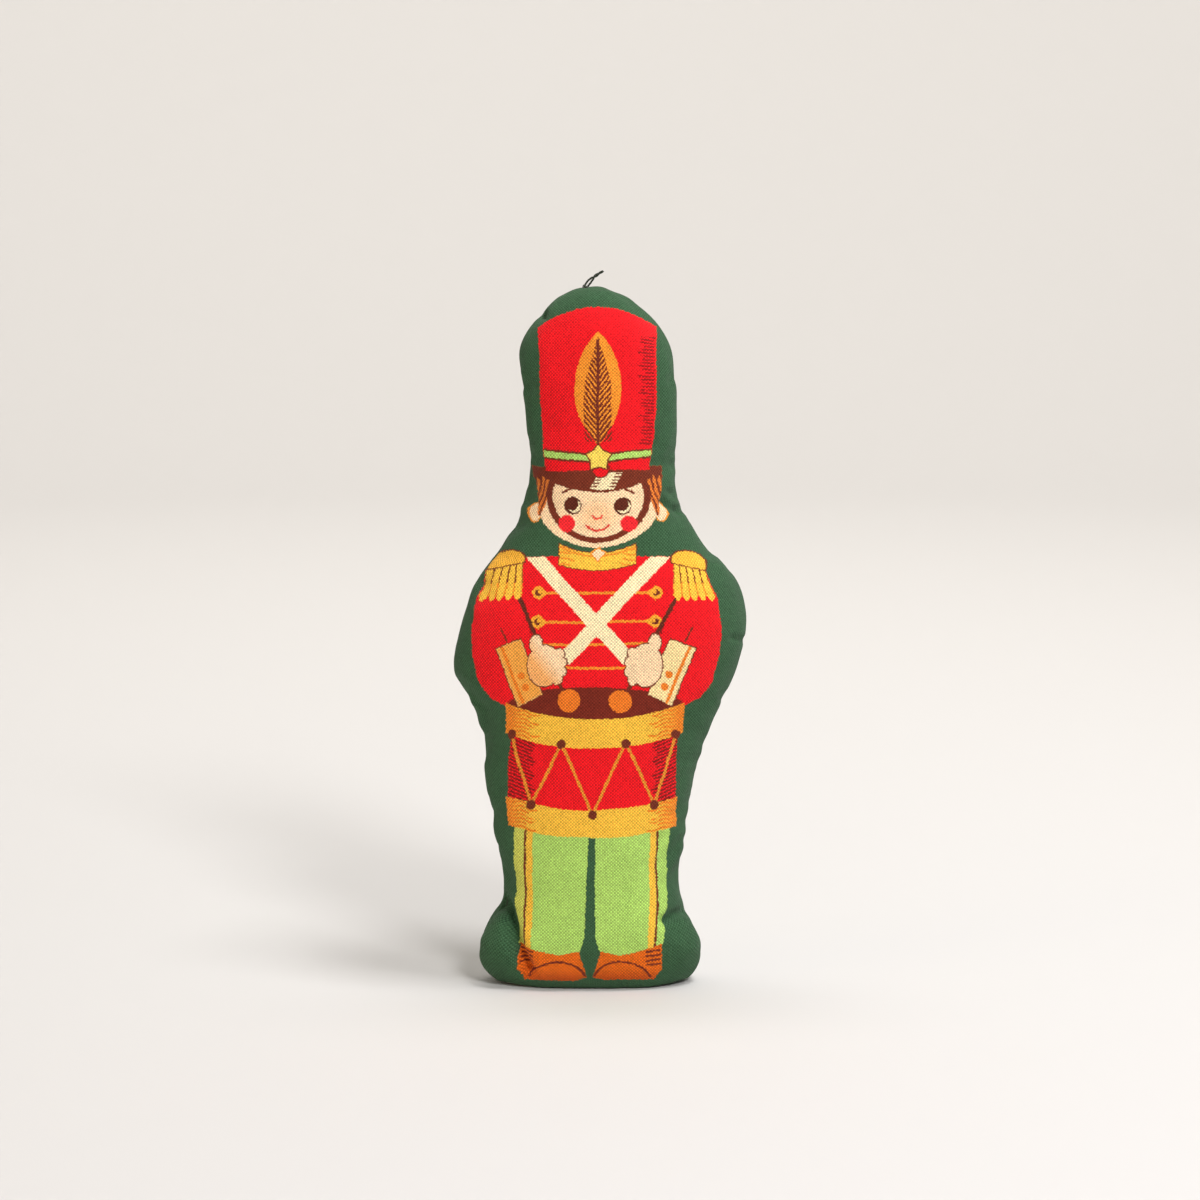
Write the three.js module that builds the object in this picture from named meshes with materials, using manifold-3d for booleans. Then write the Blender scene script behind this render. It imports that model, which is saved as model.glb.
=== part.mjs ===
import * as THREE from 'three';
import { mergeVertices } from 'three/addons/utils/BufferGeometryUtils.js';
import manifoldModule from 'manifold-3d';

// Stuffed cloth ornament in the shape of a toy drummer. A front and a back panel are sewn together along
// their edge, turned, stuffed through a gap in one side seam and closed by hand. It stands on its base and
// has a knotted thread on top to hang by. Millimetres, +Z up, the front faces -Y.

// Outline of the sewn edge seen from the front: heights above the floor, reach to the left and to the right
const BASE_LEFT = 24.5;
const BASE_RIGHT = 21.5;
const BASE_PRESS = 1.4;
const FOOT_Z = 5.6;
const FOOT_LEFT = 31.4;
const FOOT_RIGHT = 26.4;
const INSTEP_Z = 14;
const INSTEP_LEFT = 28.9;
const INSTEP_RIGHT = 23.7;
const ANKLE_Z = 22.5;
const ANKLE_LEFT = 25.1;
const ANKLE_RIGHT = 20.8;
const KNEE_Z = 42;
const KNEE_LEFT = 27.7;
const KNEE_RIGHT = 22.4;
const HIP_Z = 60.5;
const HIP_LEFT = 29.7;
const HIP_RIGHT = 26;
const WAIST_Z = 69.5;
const WAIST_LEFT = 31;
const WAIST_RIGHT = 28.7;
const ELBOW_Z = 81;
const ELBOW_LEFT = 38.1;
const ELBOW_RIGHT = 35.2;
const ARM_Z = 96;
const ARM_LEFT = 35.5;
const ARM_RIGHT = 38.1;
const SHOULDER_Z = 106;
const SHOULDER_LEFT = 31;
const SHOULDER_RIGHT = 35.2;
const COLLAR_Z = 113;
const COLLAR_LEFT = 25;
const COLLAR_RIGHT = 26.7;
const NECK_Z = 122;
const NECK_LEFT = 20.6;
const NECK_RIGHT = 21.7;
const BRIM_Z = 134;
const BRIM_LEFT = 17.9;
const BRIM_RIGHT = 19.3;
const HAT_Z = 150;
const HAT_LEFT = 18.8;
const HAT_RIGHT = 19;
const CROWN_Z = 165.5;
const CROWN_LEFT = 20.7;
const CROWN_RIGHT = 18.5;
const RIM_Z = 175.8;
const RIM_LEFT = 13;
const RIM_RIGHT = 10.2;
const TOP_Z = 179.6;

// Stuffed thickness from front to back
const ANKLE_DEPTH = 27;
const KNEE_DEPTH = 30;
const WAIST_DEPTH = 36;
const CHEST_DEPTH = 39;
const NECK_DEPTH = 29;
const HAT_DEPTH = 26;
const FOOT_CROWN = 17;
const HAT_CROWN = 16;
const FULLNESS = 0.85;

// Cloth, seam and threads
const CLOTH = 0.6;
const ALLOWANCE = 5;
const FOLD = 0.1;
const CLEARANCE = 0.3;
const STITCH_IN = 1.8;
const SEAM_THREAD = 0.4;
const CLOSING_IN = 2.2;
const CLOSING_ROOM = 0.8;
const CLOSING_STITCH = 4;
const CLOSING_STITCHES = 9;
const CLOSING_LOW_Z = 28;
const CLOSING_HIGH_Z = 65;
const HANG_THREAD = 0.8;
const HANG_X = -3.8;
const HANG_INSIDE = 16;
const KNOT = 1.5;
const KNOT_PROUD = 0.4;
const TAIL_RISE = 4.2;
const TAIL_LEAN = 4.6;
const BOW_RISE = 2.6;
const BOW_LEAN = 1.4;
const TAIL_STEPS = 6;

// Where one handful of stuffing is pressed on the next, and the room under it for the seam at the base
const BASE_ROOM = 1.8;
const FEET_TOP_Z = 23;
const LEGS_TOP_Z = 67;
const TRUNK_TOP_Z = 119;
const HEAD_TOP_Z = 150;
const PRESS_RADIUS = 70;
const CHEST_LEFT = 21;
const CHEST_RIGHT = 20;

// Fineness of the stuffed form and of the threads
const COLUMNS = 72;
const RING_ANGLES = [0, 10, 24, 42, 63, 84].map((degrees) => THREE.MathUtils.degToRad(degrees));
const EDGE_SAMPLES = 1440;
const THREAD_SIDES = 5;
const STITCH_STEPS = 6;
const SIDE_TURN = 2 * Math.PI / THREAD_SIDES;
const HANG_ROOM = (KNOT + 2 * CLEARANCE) / Math.cos(SIDE_TURN / 2);

const FRONT = -1;
const BACK = 1;
const HALF_GAP = CLEARANCE / 2;
const SEAM_FACE = HALF_GAP + CLOTH;
const THREAD_DEPTH = SEAM_FACE + CLEARANCE + SEAM_THREAD / 2;

const wasm = await manifoldModule();
wasm.setup();

// The sewn edge, once round: up the right side, over the hat and down the left side
const STATIONS = [
  [-BASE_PRESS, BASE_LEFT, BASE_RIGHT],
  [FOOT_Z, FOOT_LEFT, FOOT_RIGHT],
  [INSTEP_Z, INSTEP_LEFT, INSTEP_RIGHT],
  [ANKLE_Z, ANKLE_LEFT, ANKLE_RIGHT],
  [KNEE_Z, KNEE_LEFT, KNEE_RIGHT],
  [HIP_Z, HIP_LEFT, HIP_RIGHT],
  [WAIST_Z, WAIST_LEFT, WAIST_RIGHT],
  [ELBOW_Z, ELBOW_LEFT, ELBOW_RIGHT],
  [ARM_Z, ARM_LEFT, ARM_RIGHT],
  [SHOULDER_Z, SHOULDER_LEFT, SHOULDER_RIGHT],
  [COLLAR_Z, COLLAR_LEFT, COLLAR_RIGHT],
  [NECK_Z, NECK_LEFT, NECK_RIGHT],
  [BRIM_Z, BRIM_LEFT, BRIM_RIGHT],
  [HAT_Z, HAT_LEFT, HAT_RIGHT],
  [CROWN_Z, CROWN_LEFT, CROWN_RIGHT],
  [RIM_Z, RIM_LEFT, RIM_RIGHT],
];

function sewnEdge() {
  const rightSide = STATIONS.map(([z, , right]) => new THREE.Vector3(right, 0, z));
  const leftSide = STATIONS.map(([z, left]) => new THREE.Vector3(-left, 0, z)).reverse();
  const top = new THREE.Vector3((RIM_RIGHT - RIM_LEFT) / 2, 0, TOP_Z);
  return new THREE.CatmullRomCurve3([...rightSide, top, ...leftSide], true, 'centripetal');
}

const edge = sewnEdge();
const edgePoints = edge.getSpacedPoints(COLUMNS).slice(0, COLUMNS);

// The middle line of the form, from the feet to the hat, and the form's half thickness along it
const middleCurve = new THREE.CubicInterpolant(
  STATIONS.map(([z]) => z),
  STATIONS.map(([, left, right]) => (right - left) / 2),
  1,
);
const depthCurve = new THREE.CubicInterpolant(
  [ANKLE_Z, KNEE_Z, WAIST_Z, ARM_Z, NECK_Z, HAT_Z],
  [ANKLE_DEPTH, KNEE_DEPTH, WAIST_DEPTH, CHEST_DEPTH, NECK_DEPTH, HAT_DEPTH],
  1,
);

function middleAt(z) {
  return middleCurve.evaluate(z)[0];
}

// A point of the stuffed form, `inward` from the sewn edge towards the middle line and `depth` off the seam.
// Nothing comes nearer to the floor than `lift`.
function formPoint(edgePoint, inward, depth, lift) {
  const middleZ = THREE.MathUtils.clamp(edgePoint.z, FOOT_CROWN, TOP_Z - HAT_CROWN);
  const middle = new THREE.Vector3(middleAt(middleZ), 0, middleZ);
  const point = edgePoint.clone().add(middle.sub(edgePoint).setLength(inward));
  point.y = depth;
  point.z = Math.max(point.z, lift);
  return point;
}

// One ring of the crowned skin, `inset` below the outside of the cloth; angle 0 is the seam, 90 the middle
function crownRing(angle, inset, side, lift) {
  return edgePoints.map((edgePoint) => {
    const middleZ = THREE.MathUtils.clamp(edgePoint.z, FOOT_CROWN, TOP_Z - HAT_CROWN);
    const reach = Math.hypot(edgePoint.x - middleAt(middleZ), edgePoint.z - middleZ);
    const inward = inset + (reach - inset) * (1 - Math.cos(angle));
    const crown = depthCurve.evaluate(middleZ)[0] / 2 - inset - HALF_GAP;
    const depth = HALF_GAP + crown * Math.sin(angle) ** FULLNESS;
    return formPoint(edgePoint, inward, side * depth, lift);
  });
}

function seamRing(inward, depth, lift) {
  return edgePoints.map((edgePoint) => formPoint(edgePoint, inward, depth, lift));
}

// Triangles that fill a ring from side to side, from the base up to the hat
function fillRing() {
  const triangles = [];
  let right = 0;
  let left = COLUMNS - 1;
  while (left - right > 1) {
    if (edgePoints[right + 1].z <= edgePoints[left - 1].z) {
      triangles.push([right, right + 1, left]);
      right += 1;
    } else {
      triangles.push([right, left - 1, left]);
      left -= 1;
    }
  }
  return triangles;
}

// A closed skin through rings of points, with its first and last ring filled in
function loft(rings) {
  const count = COLUMNS;
  const index = [];
  for (let r = 0; r + 1 < rings.length; r += 1) {
    for (let c = 0; c < count; c += 1) {
      const a = r * count + c;
      const b = r * count + (c + 1) % count;
      index.push(a, b, b + count, a, b + count, a + count);
    }
  }
  const last = (rings.length - 1) * count;
  for (const [a, b, c] of fillRing()) {
    index.push(c, b, a, last + a, last + b, last + c);
  }
  const geometry = new THREE.BufferGeometry().setFromPoints(rings.flat());
  geometry.setIndex(index);
  return geometry;
}

function solidOf(geometry) {
  const bare = new THREE.BufferGeometry().setAttribute('position', geometry.getAttribute('position'));
  bare.setIndex(geometry.index);
  const merged = mergeVertices(bare, 1e-4);
  const triVerts = new Uint32Array(merged.index.array);
  const vertProperties = new Float32Array(merged.attributes.position.array);
  return new wasm.Manifold(new wasm.Mesh({ numProp: 3, vertProperties, triVerts }));
}

function geometryOf(solid) {
  const { numProp, vertProperties, triVerts } = solid.getMesh();
  const geometry = new THREE.BufferGeometry();
  const stored = new THREE.InterleavedBuffer(vertProperties, numProp);
  geometry.setAttribute('position', new THREE.InterleavedBufferAttribute(stored, 3, 0));
  geometry.setIndex(new THREE.BufferAttribute(triVerts, 1));
  return geometry.toNonIndexed();
}

// A round thread along a curve
function threadAlong(curve, thickness, steps) {
  const corner = (_, i) => new THREE.Vector2(thickness / 2, 0).rotateAround(new THREE.Vector2(), i * SIDE_TURN);
  const section = new THREE.Shape(Array.from({ length: THREAD_SIDES }, corner));
  const options = { steps, extrudePath: curve, bevelEnabled: false };
  return solidOf(new THREE.ExtrudeGeometry(section, options));
}

// A cloth panel: crowned skin, turned in at the seam with its seam allowance lying against the other panel's
function panel(side) {
  const outside = RING_ANGLES.map((angle) => crownRing(angle, 0, side, 0)).reverse();
  const inside = RING_ANGLES.slice(1).map((angle) => crownRing(angle, CLOTH, side, CLOTH));
  const rings = [
    ...outside,
    seamRing(ALLOWANCE, side * HALF_GAP, 0),
    seamRing(ALLOWANCE, side * SEAM_FACE, CLOTH),
    seamRing(CLOTH + FOLD, side * SEAM_FACE, CLOTH),
    ...inside,
  ];
  return solidOf(loft(side === FRONT ? rings.reverse() : rings));
}

// All the stuffing, with a groove round its edge for the seam allowances and their threads
function stuffing() {
  const inset = CLOTH + CLEARANCE;
  const groove = THREAD_DEPTH + SEAM_THREAD / 2 + CLEARANCE;
  const lift = inset + BASE_ROOM;
  const angles = RING_ANGLES.filter((_, ring) => ring % 2 === 1);
  const front = angles.map((angle) => crownRing(angle, inset, FRONT, lift));
  const back = angles.map((angle) => crownRing(angle, inset, BACK, lift));
  return solidOf(loft([
    ...back.reverse(),
    seamRing(inset + FOLD, BACK * groove, lift),
    seamRing(ALLOWANCE + CLEARANCE, BACK * groove, lift),
    seamRing(ALLOWANCE + CLEARANCE, FRONT * groove, lift),
    seamRing(inset + FOLD, FRONT * groove, lift),
    ...front,
  ]));
}

// Everything below a rounded face whose top is at z
function below(z, extra) {
  const ball = new THREE.SphereGeometry(PRESS_RADIUS + extra, 24, 16);
  ball.rotateX(Math.PI / 2);
  ball.translate(middleAt(z), 0, z - PRESS_RADIUS);
  return solidOf(ball);
}

// Everything between two upright planes
function between(low, high) {
  const slab = new THREE.BoxGeometry(high - low, 4 * CHEST_DEPTH, 4 * TOP_Z);
  slab.translate((low + high) / 2, 0, 0);
  return solidOf(slab);
}

// The stuffing goes in by handfuls, each pressed on the one before
function handfuls(hangingThreadRoom) {
  const far = 2 * TOP_Z;
  let rest = stuffing();
  const take = (z) => {
    const taken = rest.intersect(below(z, 0));
    rest = rest.subtract(below(z, CLEARANCE));
    return taken;
  };
  const feet = take(FEET_TOP_Z);
  const legs = take(LEGS_TOP_Z);
  const trunk = take(TRUNK_TOP_Z);
  const head = take(HEAD_TOP_Z);
  const parting = middleAt(FEET_TOP_Z);
  return {
    stuffing_left_foot: feet.intersect(between(-far, parting - HALF_GAP)),
    stuffing_right_foot: feet.intersect(between(parting + HALF_GAP, far)),
    stuffing_legs: legs,
    stuffing_chest: trunk.intersect(between(-CHEST_LEFT, CHEST_RIGHT)),
    stuffing_left_arm: trunk.intersect(between(-far, -CHEST_LEFT - CLEARANCE)),
    stuffing_right_arm: trunk.intersect(between(CHEST_RIGHT + CLEARANCE, far)),
    stuffing_head: head.subtract(hangingThreadRoom),
    stuffing_hat: rest.subtract(hangingThreadRoom),
  };
}

// A machine-stitched thread on one face of the allowances, from one end of the stuffing gap round to the other
function seamThread(side) {
  const inGap = (p) => p.x > 0 && p.z > CLOSING_LOW_Z && p.z < CLOSING_HIGH_Z;
  const lastInGap = edgePoints.findLastIndex(inGap);
  const inOrder = [...edgePoints.slice(lastInGap + 1), ...edgePoints.slice(0, lastInGap + 1)];
  const sewn = inOrder.filter((p) => !inGap(p));
  const lift = CLOTH + CLEARANCE + SEAM_THREAD / 2;
  const points = sewn.map((p) => formPoint(p, STITCH_IN, side * THREAD_DEPTH, lift));
  return threadAlong(new THREE.CatmullRomCurve3(points), SEAM_THREAD, points.length);
}

// The hand-sewn thread: it runs along one fold, crosses to the other and runs along that
function closingCurve() {
  const side = edge.getSpacedPoints(EDGE_SAMPLES).filter((p) => p.x > 0);
  const low = (CLOSING_LOW_Z + CLOSING_HIGH_Z - CLOSING_STITCHES * CLOSING_STITCH) / 2;
  const points = [];
  for (let step = 0; step <= CLOSING_STITCHES * STITCH_STEPS; step += 1) {
    const stitch = step / STITCH_STEPS;
    const z = low + stitch * CLOSING_STITCH;
    const onEdge = side.reduce((best, p) => (Math.abs(p.z - z) < Math.abs(best.z - z) ? p : best));
    const across = THREE.MathUtils.clamp(2 * Math.cos(Math.PI * stitch), -1, 1);
    points.push(formPoint(onEdge, CLOSING_IN, across * THREAD_DEPTH, 0));
  }
  return new THREE.CatmullRomCurve3(points, false, 'centripetal');
}

// Where the hanging thread passes through the seam at the top of the hat
function hangRoot() {
  const nearest = edge.getSpacedPoints(EDGE_SAMPLES).filter((p) => p.z > HAT_Z);
  return nearest.reduce((best, p) => (Math.abs(p.x - HANG_X) < Math.abs(best.x - HANG_X) ? p : best));
}

// The line that the hanging thread follows, from its end in the stuffing out through the seam
function hangLine(root) {
  const end = new THREE.Vector3(middleAt(root.z - HANG_INSIDE), 0, root.z - HANG_INSIDE);
  const knotAt = root.clone().addScaledVector(root.clone().sub(end).normalize(), KNOT_PROUD);
  const beside = knotAt.clone().sub(end).setLength(KNOT / 2 + CLEARANCE);
  return { end, knotAt, underKnot: knotAt.clone().sub(beside), overKnot: knotAt.clone().add(beside) };
}

// Knot, half sunk in the seam, and tail
function hangThread(knotAt) {
  const tip = new THREE.Vector3(knotAt.x + TAIL_LEAN, 0, knotAt.z + TAIL_RISE);
  const bow = new THREE.Vector3(knotAt.x + BOW_LEAN, 0, knotAt.z + BOW_RISE);
  const tail = threadAlong(new THREE.QuadraticBezierCurve3(knotAt, bow, tip), HANG_THREAD, TAIL_STEPS);
  const knot = new THREE.SphereGeometry(KNOT / 2, 10, 6).translate(knotAt.x, knotAt.y, knotAt.z);
  return tail.add(solidOf(knot));
}

const { end, knotAt, underKnot, overKnot } = hangLine(hangRoot());
const closing = closingCurve();
const closingSteps = CLOSING_STITCHES * STITCH_STEPS;
const closingRoom = threadAlong(closing, CLOSING_ROOM, closingSteps);
const hangRoom = threadAlong(new THREE.LineCurve3(end, overKnot), HANG_ROOM, 1);

const solids = {
  front_panel: panel(FRONT).subtract(closingRoom).subtract(hangRoom),
  back_panel: panel(BACK).subtract(closingRoom).subtract(hangRoom),
  needle_thread: seamThread(FRONT),
  bobbin_thread: seamThread(BACK),
  closing_thread: threadAlong(closing, SEAM_THREAD, closingSteps),
  hang_thread_inner_end: threadAlong(new THREE.LineCurve3(end, underKnot), HANG_THREAD, 1),
  hang_thread: hangThread(knotAt),
  ...handfuls(hangRoom),
};

const LOOKS = {
  front_panel: { color: 0xb8352a, roughness: 0.92 },
  back_panel: { color: 0x4b5f43, roughness: 0.92 },
  thread: { color: 0x2f3b2c, roughness: 0.8 },
  stuffing: { color: 0xf2efe8, roughness: 1 },
};

const ornament = new THREE.Group();
ornament.name = 'stuffed_nutcracker_ornament';
for (const [name, solid] of Object.entries(solids)) {
  const kind = Object.keys(LOOKS).find((look) => name.includes(look));
  const material = new THREE.MeshStandardMaterial({ ...LOOKS[kind], metalness: 0 });
  const mesh = new THREE.Mesh(geometryOf(solid), material);
  mesh.name = name;
  ornament.add(mesh);
}

export default ornament;
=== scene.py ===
import math

import bpy
import numpy as np
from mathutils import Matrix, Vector, noise


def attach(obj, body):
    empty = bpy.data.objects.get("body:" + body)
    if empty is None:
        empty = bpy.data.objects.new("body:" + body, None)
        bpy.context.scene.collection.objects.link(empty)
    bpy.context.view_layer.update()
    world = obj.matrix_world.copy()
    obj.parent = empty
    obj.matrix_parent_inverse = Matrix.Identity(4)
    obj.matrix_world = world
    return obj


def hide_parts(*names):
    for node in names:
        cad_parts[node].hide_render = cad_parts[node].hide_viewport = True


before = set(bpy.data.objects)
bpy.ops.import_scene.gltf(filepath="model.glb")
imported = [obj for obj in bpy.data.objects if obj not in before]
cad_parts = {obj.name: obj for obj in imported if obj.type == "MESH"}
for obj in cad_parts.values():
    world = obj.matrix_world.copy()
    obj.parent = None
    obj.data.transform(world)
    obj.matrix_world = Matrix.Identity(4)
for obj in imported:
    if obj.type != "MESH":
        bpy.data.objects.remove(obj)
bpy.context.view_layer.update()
MM = 0.001

# Sewn outline from the front in mm: height, reach to the left, reach to the right
OUTLINE = [
    (-1.4, 24.5, 21.5), (5.6, 31.4, 26.4), (14, 28.9, 23.7), (22.5, 25.1, 20.8), (42, 27.7, 22.4),
    (60.5, 29.7, 26), (69.5, 31, 28.7), (81, 38.1, 35.2), (96, 35.5, 38.1), (106, 31, 35.2),
    (113, 25, 26.7), (122, 20.6, 21.7), (134, 17.9, 19.3), (150, 18.8, 19), (165.5, 20.7, 18.5),
    (175.8, 13, 10.2),
]
TOP = (-1.4, 179.6)
# Stuffed thickness from front to back in mm, by height
THICKNESS = [(22.5, 27), (42, 30), (69.5, 36), (96, 39), (122, 29), (150, 26)]
# Middle line of the form in mm: height of the sewn edge, and of the point of the line that it is drawn to
SPINE = [(-1.4, 14), (40, 40), (140, 140), (180, 166)]
FULLNESS = 0.85
COLUMNS = 380
RINGS = 24
RING_CROWDING = 1.3
# How far the innermost ring stays from the middle line, as a share of a ring's width
MIDDLE_ROOM = 0.6
SEAM_PULL = 0.4
SEAM_PULL_WIDTH = 1.4
ALLOWANCE = 5.0
CLOTH = 0.5
# Fold at the sewn edge: cloth that it takes up, and room between the two allowances on each side
FOLD = 0.6
FOLD_ROOM = 0.1
THREAD_PITCH = 0.43
# Cloth simulation: frames, and how far from the seam the cloth draws up, in mm
SETTLE_FRAMES = 22
DRAWN_WIDTH = 2.6
# Puckers kept from it: length along the seam in columns, most in mm, and reach in from the seam
PUCKER = 7
PUCKER_CAP = 1.0
PUCKER_REACH = 13
# How much of a pucker or crease is left at the sewn edge itself, and how wide that calm strip is in mm
SEAM_SHARE = 0.35
SEAM_SHARE_WIDTH = 2.5
# How far a crease at the edge runs on over the back, and how near the seam the cloth isn't moved across it
CREASE_OVER = 4
SEAM_HOLD = 1.5
# Creases that the standing figure shows, in mm as seen from the front: path, depth, width
CREASES = [
    ([(-26, 23.5), (-22.8, 16), (-20.8, 9.5), (-18.6, 4.5)], 3.6, 1.6),
    ([(22, 19.8), (16.6, 17)], 2.0, 1.4),
    ([(16.4, 124.4), (21, 122)], 1.5, 1.1),
    ([(17.5, 127.2), (20, 125.6)], 0.6, 0.9),
    ([(-36.5, 77.5), (-31, 71.5)], 1.3, 2.2),
    ([(-18, 174.5), (-14.8, 172.4)], 1.0, 1.2),
    ([(37.5, 89), (34.2, 89.6)], 0.8, 0.9),
]
# Firm places beside the creases: middle, width, height
BULGES = [((-26.5, 9), 6.0, 2.0), ((21.5, 11.5), 6.0, 1.3)]
LUMP = 0.4
LUMP_WIDTH = 13
# Hanging thread: middle of its knot, and its tip and bow from there
KNOT_AT = (-3.74, 0.0, 179.83)
TAIL_TIP = (4.6, 4.2)
TAIL_BOW = (1.4, 2.6)
PLY = 0.26
# Dimple that the knot draws in the seam: depth, width
KNOT_DIMPLE = (0.6, 1.8)
KNOT_LOOP = 0.2
KNOT_THREAD = 0.3
# Stuffing: fineness, room under the cloth, lumps and their width in mm, and how far it is drawn in sideways
STUFFING_VOXEL = 1.6
STUFFING_ROOM = 2.0
STUFFING_LUMP = 0.6
STUFFING_LUMP_WIDTH = 5
STUFFING_DRAW = 0.92
# Camera: height above the horizon, distance from and height of the point that it aims at
ELEVATION = math.radians(8)
DISTANCE = 0.80
AIM_HEIGHT = 0.1
LENS = 93.5
# Where the print's own zero height lies under the picture of the base's middle
PRINT_DROP = 2.0
# How the print lies on the cloth in mm: moved to the left, and further so from the collar down to the feet
PRINT_LEFT = 0.5
PRINT_LEAN = 2.2
# Parts of the print that lie lower or further out than they are drawn
COAT_DROP = 0.9
DRUM_DROP = 0.3
HANDS_DROP = 0.6
HANDS_OUT = 0.9
PRINT_EDGE = 0.2
# Uneven edges of the print: from thread to thread, and over the whole cloth
FRAY = 0.3
WAVER = 1.2
# Paper sweep in m: radius of its flat floor, radius of its bend, height of its wall
FLOOR_RADIUS = 1.2
BEND_RADIUS = 0.9
WALL_HEIGHT = 2.6


def srgb(r, g, b):
    """A linear colour from 0-255 screen values."""
    def channel(v):
        v /= 255
        return v / 12.92 if v <= 0.04045 else ((v + 0.055) / 1.055) ** 2.4
    return (channel(r), channel(g), channel(b), 1.0)


def link_mesh(name, points, faces):
    """A new smooth mesh object from points in mm."""
    mesh = bpy.data.meshes.new(name)
    mesh.from_pydata((np.asarray(points) * MM).tolist(), [], faces)
    mesh.polygons.foreach_set("use_smooth", [True] * len(mesh.polygons))
    piece = bpy.data.objects.new(name, mesh)
    bpy.context.scene.collection.objects.link(piece)
    return piece


def bake_modifiers(piece):
    """Replaces a piece's mesh by what its modifiers make of it."""
    graph = bpy.context.evaluated_depsgraph_get()
    graph.update()
    done = piece.evaluated_get(graph)
    mesh = bpy.data.meshes.new_from_object(done, preserve_all_data_layers=True, depsgraph=graph)
    piece.modifiers.clear()
    piece.data = mesh


def mesh_points(mesh, attribute="co"):
    """Places or normals of a mesh's points; places in mm."""
    values = np.empty(len(mesh.vertices) * 3, np.float32)
    mesh.vertices.foreach_get(attribute, values)
    values = values.reshape(-1, 3).astype(float)
    return values / MM if attribute == "co" else values


def place_points(mesh, points):
    mesh.vertices.foreach_set("co", (points * MM).astype(np.float32).ravel())
    mesh.update()


def rest_on_floor(mesh):
    """Presses flat what would be under the floor."""
    points = mesh_points(mesh)
    points[:, 2] = np.maximum(points[:, 2], 0)
    place_points(mesh, points)


# Shape of the stuffed cloth
def closed_spline(points, count):
    """Evenly spaced points on a closed centripetal Catmull-Rom curve."""
    p = np.array(points, float)
    dense = []
    t = np.linspace(0, 1, 40, endpoint=False)[:, None]
    for i in range(len(p)):
        p0, p1, p2, p3 = p[i - 1], p[i], p[(i + 1) % len(p)], p[(i + 2) % len(p)]
        t01, t12, t23 = (math.sqrt(np.linalg.norm(b - a)) for a, b in ((p0, p1), (p1, p2), (p2, p3)))
        m1 = p2 - p1 + t12 * ((p1 - p0) / t01 - (p2 - p0) / (t01 + t12))
        m2 = p2 - p1 + t12 * ((p3 - p2) / t23 - (p3 - p1) / (t12 + t23))
        dense.append(p1 + m1 * t + (3 * (p2 - p1) - 2 * m1 - m2) * t**2 + (m1 + m2 - 2 * (p2 - p1)) * t**3)
    dense = np.concatenate(dense + [p[:1]])
    run = np.concatenate([[0], np.cumsum(np.linalg.norm(np.diff(dense, axis=0), axis=1))])
    at = np.linspace(0, run[-1], count, endpoint=False)
    return np.stack([np.interp(at, run, dense[:, k]) for k in (0, 1)], axis=1)


def smooth_table(table, z, blur=6.0):
    """Values of a small table along z, with its corners rounded off."""
    step, reach = 0.5, 40
    zs = np.arange(-60, 240, step)
    values = np.interp(zs, [row[0] for row in table], [row[1] for row in table])
    kernel = np.exp(-0.5 * (np.arange(-reach, reach + 1) * step / blur) ** 2)
    values = np.convolve(np.pad(values, reach, mode="edge"), kernel / kernel.sum(), "valid")
    return np.interp(z, zs, values)


class Form:
    """The stuffed form before the cloth settles, in columns that run from the seam in to the middle line."""

    def __init__(self):
        right = [(r, z) for z, _, r in OUTLINE]
        left = [(-l, z) for z, l, _ in reversed(OUTLINE)]
        self.edge = closed_spline(right + [TOP] + left, COLUMNS)
        spine_z = np.interp(self.edge[:, 1], *zip(*SPINE))
        spine_x = smooth_table([(z, (r - l) / 2) for z, l, r in OUTLINE], spine_z)
        self.spine = np.stack([spine_x, spine_z], axis=1)
        reach = np.linalg.norm(self.spine - self.edge, axis=1)
        self.inward = (self.spine - self.edge) / reach[:, None]
        half = smooth_table(THICKNESS, spine_z) / 2
        angle = np.linspace(0, math.pi / 2, 240)
        self.way_in = reach[:, None] * (1 - np.cos(angle))[None]
        self.way_out = half[:, None] * (np.sin(angle) ** FULLNESS)[None]
        step = np.hypot(np.diff(self.way_in, axis=1), np.diff(self.way_out, axis=1))
        self.run = np.concatenate([np.zeros((COLUMNS, 1)), np.cumsum(step, axis=1)], axis=1)

    def arc(self, ring):
        """Cloth between the seam and a ring."""
        return self.run[:, -1] * (ring / (RINGS + MIDDLE_ROOM)) ** RING_CROWDING

    def crown(self, ring, side):
        arc = self.arc(ring)
        inward = np.array([np.interp(arc[c], self.run[c], self.way_in[c]) for c in range(COLUMNS)])
        outward = np.array([np.interp(arc[c], self.run[c], self.way_out[c]) for c in range(COLUMNS)])
        inward = inward + SEAM_PULL * np.exp(-((arc / SEAM_PULL_WIDTH) ** 2))
        return self.at(inward, side * outward)

    def at(self, inward, depth):
        """A point in each column, `inward` from the edge and `depth` off the seam, not under the floor."""
        xz = self.edge + self.inward * np.broadcast_to(inward, COLUMNS)[:, None]
        return np.stack([xz[:, 0], np.broadcast_to(depth, COLUMNS), np.maximum(xz[:, 1], 0)], axis=1)

    def flat(self, arc):
        """Where the cloth that far from the seam lay before it was sewn."""
        return self.spine - self.inward * (self.run[:, -1] - arc)[:, None]

    def ring_faces(self, low, high):
        following = np.roll(np.arange(COLUMNS), -1)
        return [(low + c, low + d, high + d, high + c) for c, d in enumerate(following)]

    def middle_faces(self, start):
        """Triangles that zip up the innermost ring along the middle line."""
        faces, low, high = [], 0, COLUMNS - 1
        while high - low > 1:
            if self.edge[low + 1, 1] <= self.edge[high - 1, 1]:
                faces.append((start + low, start + low + 1, start + high))
                low += 1
            else:
                faces.append((start + low, start + high - 1, start + high))
                high -= 1
        return faces


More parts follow.
